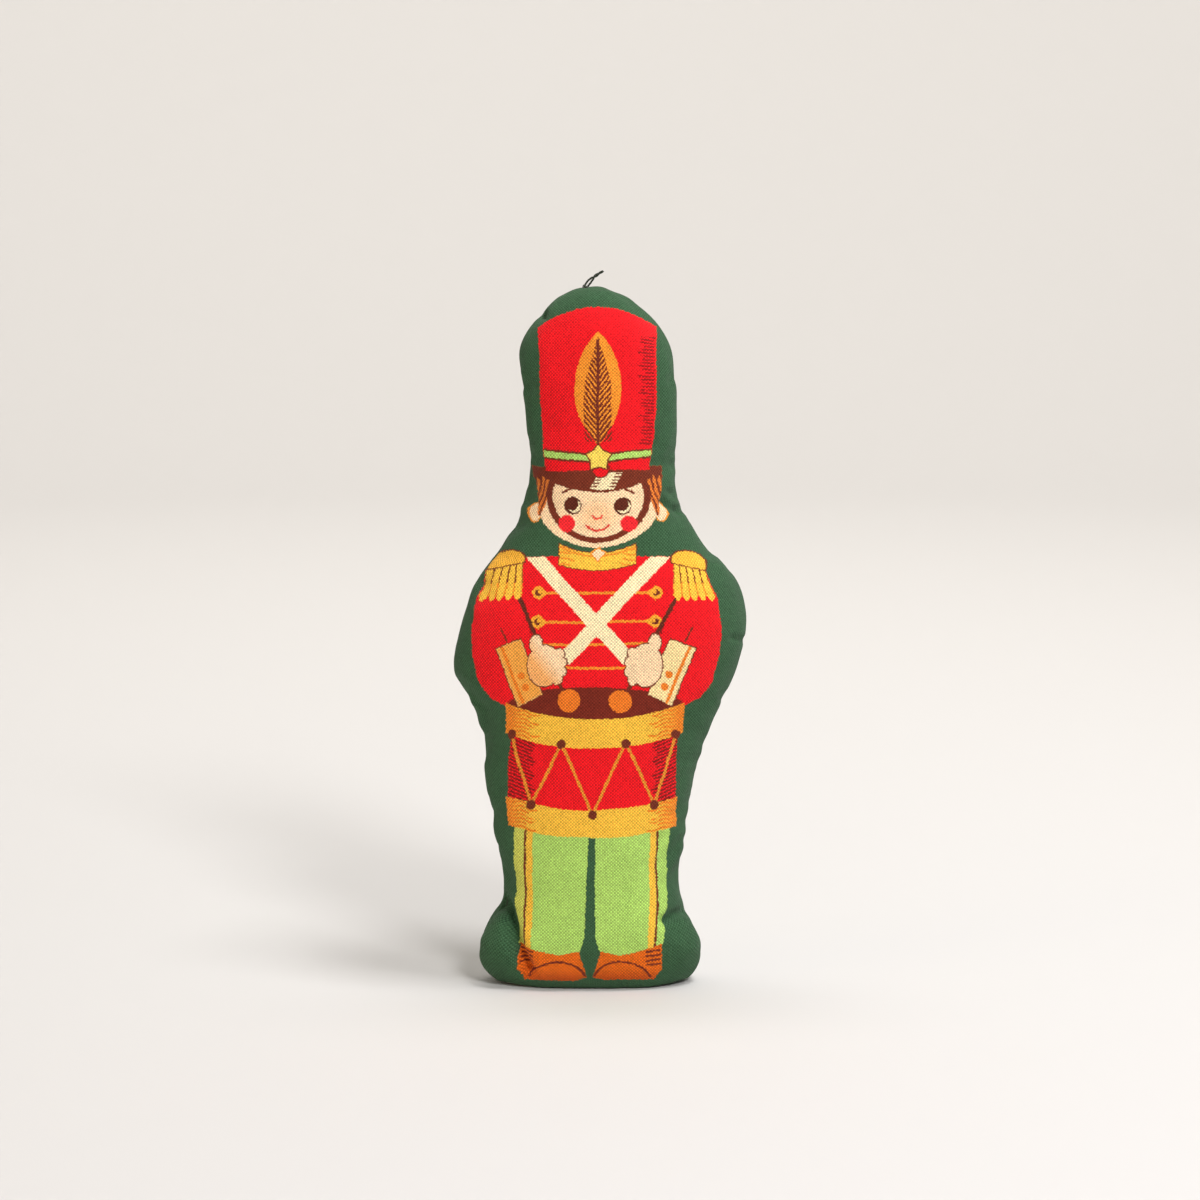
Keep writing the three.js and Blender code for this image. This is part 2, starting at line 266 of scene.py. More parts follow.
form = Form()
front_rings = np.array([form.crown(ring, -1) for ring in range(RINGS + 1)])
back_rings = np.array([form.crown(ring, 1) for ring in range(RINGS + 1)])


def settle(points, faces, seam):
    """Cloth simulation under pressure: the sewn edge draws up a little, so the cloth puckers beside it."""
    scale = 5
    body = link_mesh("settling_cloth", points * scale, faces)
    tight = body.vertex_groups.new(name="tight")
    for i, weight in enumerate(np.exp(-((seam / DRAWN_WIDTH) ** 2))):
        tight.add([i], float(weight), "REPLACE")
    cloth = body.modifiers.new("Cloth", "CLOTH")
    settings = cloth.settings
    settings.quality = 6
    settings.mass = 0.2
    settings.tension_stiffness = settings.compression_stiffness = 30
    settings.shear_stiffness = 12
    settings.bending_stiffness = 0.35
    settings.use_pressure = True
    settings.uniform_pressure_force = 4
    settings.effector_weights.gravity = 0
    settings.vertex_group_shrink = "tight"
    settings.shrink_min = -0.045
    settings.shrink_max = 0.06
    cloth.collision_settings.use_collision = False
    cloth.point_cache.frame_start = 1
    cloth.point_cache.frame_end = SETTLE_FRAMES
    scene = bpy.context.scene
    for step in range(1, SETTLE_FRAMES + 1):
        scene.frame_set(step)
    done = body.evaluated_get(bpy.context.evaluated_depsgraph_get()).to_mesh()
    moved = mesh_points(done) / scale - points
    scene.frame_set(1)
    bpy.data.objects.remove(body)
    return moved


def seam_share(away):
    """How much of a pucker or crease is left that far from the sewn edge."""
    return 1 - (1 - SEAM_SHARE) * np.exp(-((away / SEAM_SHARE_WIDTH) ** 2))


def keep_puckers(move, seam):
    """What changes quickly along the seam in a settled cloth, without its swelling: the outline stays."""
    rings = move.reshape(-1, COLUMNS, 3)
    reach = 3 * PUCKER
    weights = np.exp(-0.5 * (np.arange(-reach, reach + 1) / PUCKER) ** 2)
    weights /= weights.sum()
    round_again = np.concatenate([rings[:, -reach:], rings, rings[:, :reach]], axis=1)
    slow = sum(w * round_again[:, k:k + COLUMNS] for k, w in enumerate(weights))
    kept = rings - slow
    size = np.linalg.norm(kept, axis=2, keepdims=True)
    seam = seam.reshape(-1, COLUMNS, 1)
    share = seam_share(seam) * np.exp(-((seam / PUCKER_REACH) ** 2))
    return kept * share * np.minimum(1, PUCKER_CAP / np.maximum(size, 1e-6))


def whole_cloth():
    """Both sides as one mesh to simulate: the front's rings, then the back's without the shared seam."""
    points = np.concatenate([front_rings, back_rings[1:]]).reshape(-1, 3)
    seam = np.concatenate([form.arc(k) for k in [*range(RINGS + 1), *range(1, RINGS + 1)]])
    starts_front = [k * COLUMNS for k in range(RINGS + 1)]
    starts_back = [0] + [(RINGS + k) * COLUMNS for k in range(1, RINGS + 1)]
    faces = []
    for starts, turn in ((starts_front, 1), (starts_back, -1)):
        side = [f for low, high in zip(starts, starts[1:]) for f in form.ring_faces(low, high)]
        side += form.middle_faces(starts[-1])
        faces += [f[::turn] for f in side]
    return points, faces, seam


front_moves = np.zeros_like(front_rings)
back_moves = np.zeros_like(back_rings)
points, faces, seam = whole_cloth()
puckers = keep_puckers(settle(points, faces, seam), seam)
front_moves = puckers[:RINGS + 1]
back_moves = np.concatenate([puckers[:1], puckers[RINGS + 1:]])


def print_place(points):
    """Where points of the front show in the picture, in mm up and to the right of the middle of the base."""
    eye = np.array([0, -DISTANCE * math.cos(ELEVATION), AIM_HEIGHT + DISTANCE * math.sin(ELEVATION)]) / MM
    ahead = np.array([0, math.cos(ELEVATION), -math.sin(ELEVATION)])
    up = np.array([0, math.sin(ELEVATION), math.cos(ELEVATION)])
    away = points - eye
    scale = DISTANCE / MM / (away @ ahead)
    base_up = (-eye @ up) * DISTANCE / MM / (-eye @ ahead)
    return np.stack([away[:, 0] * scale, (away @ up) * scale - base_up + PRINT_DROP], axis=1)


def path_distance(places, path):
    """How far places are from a path of straight stretches."""
    nearest = np.full(len(places), np.inf)
    for start, end in zip(np.array(path[:-1], float), np.array(path[1:], float)):
        way = end - start
        along = np.clip((places - start) @ way / (way @ way), 0, 1)
        nearest = np.minimum(nearest, np.linalg.norm(places - start - along[:, None] * way, axis=1))
    return nearest


def crease(mesh):
    """Presses the creases into a piece, swells it beside them and makes it a little lumpy."""
    points, normals = mesh_points(mesh), mesh_points(mesh, "normal")
    places = print_place(points)
    depth = points[:, 1]
    over_back = SEAM_SHARE * np.exp(-((depth / CREASE_OVER) ** 2))
    on_front = np.where(depth < 0, seam_share(depth), over_back)
    rise = np.array([LUMP * noise.noise(Vector(p / LUMP_WIDTH)) for p in points])
    for path, deep, width in CREASES:
        rise -= deep * on_front * np.exp(-((path_distance(places, path) / width) ** 2))
    for middle, width, height in BULGES:
        far = np.linalg.norm(places - middle, axis=1)
        rise += height * on_front * np.exp(-((far / width) ** 2))
    dimple, wide = KNOT_DIMPLE
    rise -= dimple * np.exp(-((np.linalg.norm(points - KNOT_AT, axis=1) / wide) ** 2))
    normals[:, 1] *= 1 - np.exp(-((depth / SEAM_HOLD) ** 2))
    place_points(mesh, points + normals * rise[:, None])
    rest_on_floor(mesh)


def cloth_piece(name, side, rings, moves, node):
    """One panel, from the cut edge of its seam allowance round the seam and over the stuffing."""
    turned_in = [form.at(inward, side * FOLD_ROOM) for inward in (ALLOWANCE, SEAM_PULL + FOLD)]
    turned_in = [ring + moves[0] * (1, 0, 1) for ring in turned_in]
    rest = np.concatenate([turned_in, rings]).reshape(-1, 3)
    settled = np.concatenate([turned_in, rings + moves]).reshape(-1, 3)
    settled[:, 2] = np.maximum(settled[:, 2], 0)
    arcs = [np.full(COLUMNS, -ALLOWANCE), np.full(COLUMNS, -FOLD)] + [form.arc(k) for k in range(RINGS + 1)]
    flat = np.concatenate([form.flat(arc) for arc in arcs])
    starts = range(0, len(rest), COLUMNS)
    faces = [f for low, high in zip(starts, starts[1:]) for f in form.ring_faces(low, high)]
    faces += form.middle_faces(starts[-1])
    piece = link_mesh(name, settled, faces if side < 0 else [f[::-1] for f in faces])
    loops = np.empty(len(piece.data.loops), np.int32)
    piece.data.loops.foreach_get("vertex_index", loops)
    for layer, places in (("Print", print_place(rest)), ("Weave", flat)):
        uv = piece.data.uv_layers.new(name=layer)
        uv.data.foreach_set("uv", places[loops].astype(np.float32).ravel())
    subdivide = piece.modifiers.new("Subdivision", "SUBSURF")
    subdivide.levels = subdivide.render_levels = 1
    bake_modifiers(piece)
    crease(piece.data)
    cut = [tuple(np.ptp(flat, axis=0) * MM), sum(f.area for f in piece.data.polygons)]
    solid = piece.modifiers.new("Solidify", "SOLIDIFY")
    solid.thickness = CLOTH * MM
    solid.offset = -1
    bake_modifiers(piece)
    rest_on_floor(piece.data)
    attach(piece, "body")
    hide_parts(node)
    return piece, cut


front, front_cut = cloth_piece("front_cloth", -1, front_rings, front_moves, "front_panel")
back, back_cut = cloth_piece("back_cloth", 1, back_rings, back_moves, "back_panel")


# Stuffing and threads
def stuffing_piece(node):
    """A handful of fibre filling in the space of its solid, drawn in and lumpy."""
    piece = bpy.data.objects.new(node.replace("stuffing", "filling"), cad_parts[node].data.copy())
    bpy.context.scene.collection.objects.link(piece)
    remesh = piece.modifiers.new("Remesh", "REMESH")
    remesh.mode = "VOXEL"
    remesh.voxel_size = STUFFING_VOXEL * MM
    remesh.use_smooth_shade = True
    bake_modifiers(piece)
    points, normals = mesh_points(piece.data), mesh_points(piece.data, "normal")
    lumps = np.array([noise.fractal(Vector(p / STUFFING_LUMP_WIDTH), 0.8, 2.0, 3) for p in points])
    room = STUFFING_ROOM + STUFFING_LUMP * np.clip(lumps, -1, 1)
    place_points(piece.data, points - normals * room[:, None])
    crease(piece.data)
    points = mesh_points(piece.data)
    middle = np.interp(points[:, 2], [z for z, _, _ in OUTLINE], [(r - l) / 2 for _, l, r in OUTLINE])
    points[:, 0] = middle + (points[:, 0] - middle) * STUFFING_DRAW
    place_points(piece.data, points)
    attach(piece, "body")
    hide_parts(node)
    return piece


def tube(path, radius, closed=False, sides=10):
    """Points and faces of a round thread along a path in mm; `radius` is one number or one for each point."""
    path = np.asarray(path, float)
    count = len(path)
    ahead = np.roll(path, -1, axis=0) - np.roll(path, 1, axis=0) if closed else np.gradient(path, axis=0)
    ahead /= np.linalg.norm(ahead, axis=1, keepdims=True)
    no_thread_runs_this_way = (0.21, 0.93, 0.3)
    across = np.cross(ahead, no_thread_runs_this_way)
    across /= np.linalg.norm(across, axis=1, keepdims=True)
    other = np.cross(ahead, across)
    turn = np.linspace(0, 2 * math.pi, sides, endpoint=False)
    ring = np.cos(turn)[:, None, None] * across + np.sin(turn)[:, None, None] * other
    points = path + ring * np.broadcast_to(radius, count)[:, None]
    points = points.transpose(1, 0, 2).reshape(-1, 3)
    faces = []
    for k in range(count if closed else count - 1):
        low, high = k * sides, (k + 1) % count * sides
        faces += [(low + c, low + (c + 1) % sides, high + (c + 1) % sides, high + c) for c in range(sides)]
    if not closed:
        faces += [tuple(range(sides))[::-1], tuple(range((count - 1) * sides, count * sides))]
    return points, faces


def knotted_thread():
    """The hanging thread's knot and its two plies, which part at the knot and close towards the tip."""
    t = np.linspace(0, 2 * math.pi, 72, endpoint=False)
    trefoil = [np.sin(t) + 2 * np.sin(2 * t), np.cos(t) - 2 * np.cos(2 * t), -1.6 * np.sin(3 * t)]
    x, y, z = np.array(trefoil) * KNOT_LOOP
    tilt = math.atan2(TAIL_TIP[0], TAIL_TIP[1]) * 0.8
    tilted = [x * math.cos(tilt) + z * math.sin(tilt), y, z * math.cos(tilt) - x * math.sin(tilt)]
    strands = [(np.stack(tilted, axis=1), KNOT_THREAD, True)]
    s = np.linspace(0, 1, 48)
    middle = np.stack([
        2 * s * (1 - s) * TAIL_BOW[0] + s**2 * TAIL_TIP[0],
        np.zeros_like(s),
        2 * s * (1 - s) * TAIL_BOW[1] + s**2 * TAIL_TIP[1],
    ], axis=1)
    apart = np.interp(s, [0, 0.3, 0.6, 1], [0.42, 0.5, 0.2, 0.14])
    twist = 0.5 + 4.2 * math.pi * np.clip(s - 0.5, 0, 1)
    thick = PLY * np.interp(s, [0, 0.85, 1], [1, 1, 0.6])
    for ply in (0, math.pi):
        offset = np.stack([
            -np.cos(twist + ply) * 0.75,
            np.sin(twist + ply) * 0.35,
            np.cos(twist + ply) * 0.66,
        ], axis=1)
        strands.append((middle + offset * apart[:, None], thick, False))
    points, faces = [], []
    for path, radius, closed in strands:
        more, sides = tube(path, radius, closed)
        start = sum(map(len, points))
        points.append(more + KNOT_AT)
        faces += [tuple(start + i for i in f) for f in sides]
    piece = link_mesh("knotted_thread", np.concatenate(points), faces)
    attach(piece, "hang_thread")
    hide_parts("hang_thread")
    return piece


fillings = [stuffing_piece(node) for node in sorted(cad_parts) if node.startswith("stuffing_")]
hanging = knotted_thread()


# Print and weave
class Field:
    """A number that varies over the cloth: one output of a shader node, with arithmetic that adds nodes."""

    tree = None

    def __init__(self, socket):
        self.socket = socket

    @classmethod
    def node(cls, operation, *values, clamp=False):
        made = cls.tree.nodes.new("ShaderNodeMath")
        made.operation = operation
        made.use_clamp = clamp
        for slot, value in zip(made.inputs, values):
            if isinstance(value, Field):
                cls.tree.links.new(value.socket, slot)
            else:
                slot.default_value = value
        return cls(made.outputs[0])

    def __add__(self, other):
        return self.node("ADD", self, other)

    __radd__ = __add__

    def __sub__(self, other):
        return self.node("SUBTRACT", self, other)

    def __rsub__(self, other):
        return self.node("SUBTRACT", other, self)

    def __mul__(self, other):
        return self.node("MULTIPLY", self, other)

    __rmul__ = __mul__

    def __truediv__(self, other):
        return self.node("DIVIDE", self, other)

    def __neg__(self):
        return self * -1

    def __abs__(self):
        return self.node("ABSOLUTE", self)


def higher(first, *rest):
    for other in rest:
        first = Field.node("MAXIMUM", first, other)
    return first


def lower(first, *rest):
    for other in rest:
        first = Field.node("MINIMUM", first, other)
    return first


def hypot(p, q):
    return Field.node("SQRT", Field.node("MULTIPLY_ADD", p, p, q * q))


def sine(p):
    return Field.node("SINE", p)


# Distances in mm to printed shapes, negative inside
def disc(x, z, at_x, at_z, wide, high=None):
    if high is None:
        return hypot(x - at_x, z - at_z) - wide
    return (hypot((x - at_x) / wide, (z - at_z) / high) - 1) * min(wide, high)


def between(p, low, high):
    return abs(p - (low + high) / 2) - (high - low) / 2


def polygon(x, z, corners, closed=True):
    """A convex outline, its corners counter-clockwise."""
    found = None
    for (ax, az), (bx, bz) in zip(corners, corners[1:] + corners[:1] * closed):
        run = math.hypot(bx - ax, bz - az)
        nx, nz = (bz - az) / run, (ax - bx) / run
        side = Field.node("MULTIPLY_ADD", x, nx, Field.node("MULTIPLY_ADD", z, nz, -(nx * ax + nz * az)))
        found = side if found is None else higher(found, side)
    return found


def stroke(x, z, start, end, half):
    dx, dz = end[0] - start[0], end[1] - start[1]
    length = dx * dx + dz * dz
    from_x, from_z = x - start[0], z - start[1]
    along = Field.node("MULTIPLY_ADD", from_x, dx / length, from_z * (dz / length), clamp=True)
    rest_x = Field.node("MULTIPLY_ADD", along, -dx, from_x)
    return hypot(rest_x, Field.node("MULTIPLY_ADD", along, -dz, from_z)) - half


def stripes(p, pitch, wide):
    """Lines across p, each `wide`, one every `pitch`."""
    return Field.node("PINGPONG", p, pitch / 2) - wide / 2


class Painter:
    """Lays printed colours over one another."""

    def __init__(self, tree, ground):
        self.tree = tree
        self.colour = ground

    def paint(self, colour, distance, soft=PRINT_EDGE, within=None):
        mask = Field.node("MULTIPLY_ADD", distance, -1 / soft, 0.5, clamp=True)
        if within is not None:
            mask = mask * Field.node("MULTIPLY_ADD", within, -1 / PRINT_EDGE, 0.5, clamp=True)
        mix = self.tree.nodes.new("ShaderNodeMix")
        mix.data_type = "RGBA"
        self.tree.links.new(mask.socket, mix.inputs[0])
        if isinstance(self.colour, tuple):
            mix.inputs[6].default_value = self.colour
        else:
            self.tree.links.new(self.colour, mix.inputs[6])
        mix.inputs[7].default_value = colour
        self.colour = mix.outputs[2]


GREEN = srgb(58, 92, 63)
RED = srgb(240, 22, 32)
DARK_RED = srgb(150, 22, 24)
ORANGE = srgb(243, 146, 46)
GOLD = srgb(248, 192, 66)
BROWN = srgb(118, 48, 30)
SKIN = srgb(250, 214, 172)
CREAM = srgb(250, 230, 184)
LIME = srgb(174, 212, 106)
SHOE = srgb(230, 106, 24)


def print_hat(p, x, a, z):
    sides = a - (z * 0.055 + 6.3)
    p.paint(RED, higher(sides, z - (174.4 - a * a * 0.019), 132.6 - z))
    ragged = x - 11.2 + sine(z * 1.9) * 0.7 + sine(z * 4.3) * 0.5
    hatching = stripes(z + x * 0.06, 0.86, 0.42)
    p.paint(DARK_RED, higher(hatching, -ragged, x - 15.2, between(z, 139, 167), sides + 0.4))
    p.paint(ORANGE, hypot(a + 14.4, z - 153.8) - 20.5)
    barbs = higher(stripes(z - a * 1.25, 1.5, 0.85), a - lower((167 - z) * 0.3, 3.6), 140 - z)
    p.paint(BROWN, lower(barbs, higher(a - 0.42, between(z, 138.5, 166.4))))
    band = abs(z - (a * 0.115 + 135.4))
    p.paint(BROWN, higher(band - 1.3, sides + 0.1))
    p.paint(LIME, higher(band - 0.75, sides + 0.1))


def print_star(p, x, z):
    boss = higher(disc(x, z, 0.4, 132.9, 2.1), z - 133.4)
    p.paint(BROWN, boss - 0.35)
    p.paint(RED, boss)
    from_x, from_z = x, z - 135.7
    fold = Field.node("PINGPONG", Field.node("ARCTAN2", from_x, from_z), math.pi / 5)
    run = hypot(from_x, from_z)
    star = run * sine(fold) * 0.767 + run * Field.node("COSINE", fold) * 0.642 - 2.2
    p.paint(BROWN, star - 0.42)
    p.paint(srgb(246, 212, 92), star)


def print_head(p, x, a, z):
    p.paint(ORANGE, disc(a, z, 16.2, 122, 1.9, 2.6))
    p.paint(SKIN, disc(a, z, 16.1, 122, 1.5, 2.3))
    p.paint(SKIN, disc(a, z, 0, 123.8, 15.4, 11))
    p.paint(srgb(252, 202, 154), disc(x, z, 0, 121, 4.5, 3.6), 3)
    hair = higher(a - 15.9 - (z - 125) * 0.12, z - 133.6, 121 - z, 14.9 - a - (z - 121) * 0.38)
    hair = higher(hair, 11.3 - a)
    p.paint(srgb(226, 122, 48), hair)
    strands = stripes(a + (z - 126) * 0.3 + sine(z * 0.9) * 0.2, 1.25, 0.5)
    p.paint(BROWN, higher(strands, hair))
    p.paint(BROWN, higher(hair, 130.6 - z + sine(a * 4) * 0.6))
    p.paint(BROWN, higher(abs(disc(a, z, 0, 126, 12.6, 11.2)) - 0.75, z - 130))
    p.paint(BROWN, higher(z - 133.2, a * a * 0.02 + 126.9 - z, a - 14.3))
    slant = abs(x - 1.9 - (z - 129.7) * 0.55)
    glint = higher(between(z, 127.6, 131.9), lower(slant - 1.5, higher(slant - 3.2, stripes(z, 0.8, 0.42))))
    p.paint(CREAM, glint)
    p.paint(BROWN, stroke(a, z, (6.9, 128), (9.2, 127), 0.3))
    p.paint(srgb(92, 38, 24), disc(a, z, 6.6, 123.5, 2.3))
    for eye in (-6.6, 6.6):
        glance = higher(disc(x, z, eye + 0.3, 123.4, 1.7), -disc(x, z, eye - 0.25, 124, 1.75))
        p.paint(CREAM, glance)
    p.paint(srgb(244, 40, 48), disc(a, z, 8.1, 118.9, 2.15), 0.35)
    p.paint(srgb(236, 82, 62), higher(abs(disc(x, z, 0, 121.6, 1.4)) - 0.27, z - 121.2))
    p.paint(srgb(224, 62, 52), higher(abs(disc(x, z, 0, 121.1, 3.8)) - 0.29, z - 118.8))


def print_coat(p, a, z):
    p.paint(RED, polygon(a, z, [
        (0, 72.6), (22.2, 72.6), (27, 75.2), (30.2, 79.8), (32, 86), (32.2, 93), (30.8, 101),
        (27.2, 109), (20, 111.3), (0, 111.3),
    ], closed=False))
    p.paint(DARK_RED, stroke(a, z, (18.6, 99), (16.6, 91.5), 0.2))
    p.paint(BROWN, stroke(a, z, (24.4, 93), (22.8, 89.6), 0.22))
    lines = lower(abs(z - 102), abs(z - 94.6), abs(z - 88.8), abs(z - 82.8)) - 0.32
    p.paint(ORANGE, higher(lines, a - 14.6))
    belts = abs(a - abs(z - 93.9) * 0.92) * 0.735 - 1.9
    p.paint(CREAM, higher(belts, between(z, 83.6, 111.2)))
    for height in (102, 94.6):
        button = lower(disc(a, z, 15.1, height, 1.6), higher(abs(z - height) + (12.6 - a) * 0.8, a - 15))
        p.paint(srgb(246, 168, 52), button)
        p.paint(BROWN, higher(disc(a, z, 15.1, height, 0.85), -disc(a, z, 14.7, height + 0.3, 0.55)))
    p.paint(srgb(98, 42, 28), stroke(a, z, (19.8, 100.2), (15.3, 90.6), 0.52))


def print_epaulettes(p, a, z):
    share = (a - 19.4) / ((109.7 - z) * 0.42 + 7.4)
    scallop = abs(sine(share * (5 * math.pi)))
    fringe = higher(abs(share - 0.5) * 9 - 4.5, 101.6 - z - scallop * 1.5, z - 110)
    p.paint(GOLD, fringe)
    p.paint(ORANGE, higher(fringe, scallop * 1.2 - 0.42, between(z, 101, 106.5)))
    p.paint(BROWN, higher(fringe, scallop * 1.2 - 0.36, between(z, 104.6, 109.6)))
    tilted = z + (a - 23.2) * 0.22
    cap = higher(disc(a, tilted, 23.2, 109.6, 4.3, 3.0), 108.9 - tilted)
    p.paint(BROWN, cap - 0.3)
    p.paint(srgb(248, 182, 60), cap)


def print_collar(p, x, a, z):
    collar = higher(a - 9.7, a * a * 0.016 + 107.9 - z, z - a * a * 0.024 - 112.2)
    p.paint(BROWN, collar - 0.25)
    p.paint(GOLD, collar)
    p.paint(ORANGE, higher(collar, lower(
        abs(z - a * a * 0.024 - 111.5) - 0.28,
        higher(stripes(z + sine(x * 0.9) * 0.3, 1.4, 0.5), 6.2 + sine(z * 2.1) * 0.8 - a),
    )))
    notch = polygon(a, z, [(0, 110.2), (1.6, 112.3), (0, 113.4)], closed=False)
    p.paint(ORANGE, notch - 0.4)
    p.paint(SKIN, notch)


def print_drum(p, a, z):
    q = a * a * (1 / 529)
    p.paint(srgb(120, 40, 26), disc(a, z, 0, 73.0, 22.6, 4.2))
    p.paint(BROWN, stroke(a, z, (10.0, 79), (7.4, 75.4), 0.45))
    p.paint(srgb(240, 124, 38), disc(a, z, 6.6, 73.7, 2.9))
    upper = higher(abs(z - (q * 4.4 + 65.1)) - 3.8, a - 23.0)
    shell = higher(a - 21.4, z - (q * 4.2 + 62), q * 4 + 45 - z)
    p.paint(RED, shell)
    shade = higher(stripes(z - q * 5 - a * 0.12, 0.9, 0.42), 15.6 + sine(z * 1.7) * 0.6 - a)
    p.paint(srgb(120, 26, 22), higher(shell, shade))
    for start, end in (((0, 44.6), (8.2, 62.7)), ((8.2, 62.7), (15.8, 47.2)), ((15.8, 47.2), (21.2, 65.3))):
        p.paint(srgb(232, 146, 48), higher(stroke(a, z, start, end, 0.36), shell))
    bottom = higher(abs(z - (q * 4.0 + 42.1)) - 3.7, a - 21.8)
    for hoop, slope in ((upper, 4.4), (bottom, 4.0)):
        p.paint(GOLD, hoop)
        p.paint(srgb(243, 138, 42), 19.4 - a, 5, hoop)
        streaks = stripes(z - q * slope + sine(a * 1.3) * 0.3, 1.05, 0.5)
        p.paint(srgb(240, 130, 36), higher(hoop, higher(streaks, 15.6 + sine(z * 2.3) * 1.6 - a)))
    for stud in ((21.2, 65.3), (8.2, 62.6), (15.8, 47.2), (0, 44.6)):
        p.paint(BROWN, disc(a, z, *stud, 1.2))


def print_hands(p, x, a, z):
    cuff = polygon(a, z, [(18.9, 72.8), (24.7, 87.4), (18.3, 89.7), (12.7, 75.8)])
    p.paint(BROWN, cuff - 0.3)
    p.paint(srgb(250, 222, 160), cuff)
    p.paint(srgb(244, 166, 72), higher(cuff, x), 0.4)
    outer = polygon(a, z, [(18.9, 72.8), (24.7, 87.4)], closed=False)
    p.paint(srgb(240, 128, 40), higher(abs(outer + 1.5) - 0.4, cuff))
    for at in ((17.0, 77.6), (18.1, 80.6)):
        p.paint(srgb(240, 128, 40), disc(a, z, *at, 0.95))
    hand = lower(disc(a, z, 12.2, 83.0, 4.2, 5.3), disc(a, z, 14.4, 88.6, 1.5, 2.3))
    for finger in ((8.6, 86.1), (7.9, 83.9), (7.9, 81.6), (8.8, 79.5)):
        hand = lower(hand, disc(a, z, *finger, 1.3))
    p.paint(BROWN, hand - 0.32)
    p.paint(SKIN, hand)
    p.paint(srgb(248, 176, 106), x + 12.5 + (z - 83) * 0.8, 5, hand)


def print_legs(p, x, a, z):
    hem = higher(9.6 - a * 0.2, a * a * 0.0108 + 7.4)
    leg = higher(a - (z * 0.033 + 18.6), hem - z, z - 45)
    p.paint(LIME, leg)
    p.paint(srgb(206, 208, 96), higher(leg, 16.6 - a, x))
    p.paint(GOLD, higher(abs(a - 15.8) - 0.8, leg))
    p.paint(BROWN, higher(abs(a - 16.9) - 0.28, leg))
    shoe = polygon(a, z, [(0.6, 2.6), (4, 1.8), (16.4, 2.0), (18.5, 4.6), (18.6, 11.5), (0.6, 11.5)])
    shoe = higher(shoe, z - hem)
    p.paint(SHOE, shoe)
    # Painted shade: the shoes are darker over their lowest few mm, where the cloth turns under towards the
    # base
    p.paint(srgb(196, 80, 20), z - 3.4, 2.5, shoe)
    p.paint(BROWN, higher(abs(disc(a, z, 8.2, 1.2, 7.4, 5.2)) - 0.24, shoe + 0.2, 2.4 - z))
    p.paint(BROWN, higher(stripes(z - a * 0.15, 1.15, 0.5), shoe + 0.3, 14.4 - a, 5.6 - z))
    flare = higher(a - 2.75 + abs(z - 8.6) * 0.33, between(z, 2.2, 14))
    gap = lower(higher(a - 1.4 + (z - 14) * 0.022, between(z, 8, 38)), flare)
    p.paint(GREEN, gap)


class Surface:
    """A new material's node tree, with short ways to add the nodes that the cloth needs."""

    def __init__(self, name, roughness):
        self.material = bpy.data.materials.new(name)
        self.material.use_nodes = True
        self.tree = Field.tree = self.material.node_tree
        self.nodes, self.links = self.tree.nodes, self.tree.links
        self.shader = self.nodes["Principled BSDF"]
        self.shader.inputs["Roughness"].default_value = roughness
        self.shader.inputs["Specular IOR Level"].default_value = 0.15

    def uv(self, layer):
        made = self.nodes.new("ShaderNodeUVMap")
        made.uv_map = layer
        return made.outputs[0]

    def local(self):
        """Places on the piece, in mm."""
        return self.vector("SCALE", self.nodes.new("ShaderNodeTexCoord").outputs["Object"], 1 / MM)

    def vector(self, operation, first, second=None):
        made = self.nodes.new("ShaderNodeVectorMath")
        made.operation = operation
        self.links.new(first, made.inputs[0])
        if isinstance(second, float):
            made.inputs["Scale"].default_value = second
        elif isinstance(second, tuple):
            made.inputs[1].default_value = second
        elif second is not None:
            self.links.new(second, made.inputs[1])
        return made.outputs[0]

    def split(self, source):
        made = self.nodes.new("ShaderNodeSeparateXYZ")
        self.links.new(source, made.inputs[0])
        return Field(made.outputs[0]), Field(made.outputs[1]), Field(made.outputs[2])

    def noise(self, source, size, detail=2.0):
        made = self.nodes.new("ShaderNodeTexNoise")
        made.inputs["Scale"].default_value = 1 / size
        made.inputs["Detail"].default_value = detail
        self.links.new(source, made.inputs["Vector"])
        return made

    def speckle(self, source):
        """One random value and colour for each whole step of the source."""
        made = self.nodes.new("ShaderNodeTexWhiteNoise")
        made.noise_dimensions = "2D"
        self.links.new(self.vector("FLOOR", source), made.inputs["Vector"])
        return made

    def toned(self, colour, tone):
        """A colour times a brightness that varies."""
        made = self.nodes.new("ShaderNodeMix")
        made.data_type = "RGBA"
        made.blend_type = "MULTIPLY"
        made.inputs[0].default_value = 1.0
        grey = self.nodes.new("ShaderNodeCombineColor")
        for slot in grey.inputs[:3]:
            self.links.new(tone.socket, slot)
        if isinstance(colour, tuple):
            made.inputs[6].default_value = colour
        else:
            self.links.new(colour, made.inputs[6])
        self.links.new(grey.outputs[0], made.inputs[7])
        self.links.new(made.outputs[2], self.shader.inputs["Base Color"])

    def bumped(self, height, deep, strength):
        made = self.nodes.new("ShaderNodeBump")
        made.inputs["Strength"].default_value = strength
        made.inputs["Distance"].default_value = deep * MM
        self.links.new(height.socket, made.inputs["Height"])
        self.links.new(made.outputs[0], self.shader.inputs["Normal"])

    def sheen(self, weight):
        self.shader.inputs["Sheen Weight"].default_value = weight
        self.shader.inputs["Sheen Roughness"].default_value = 0.5


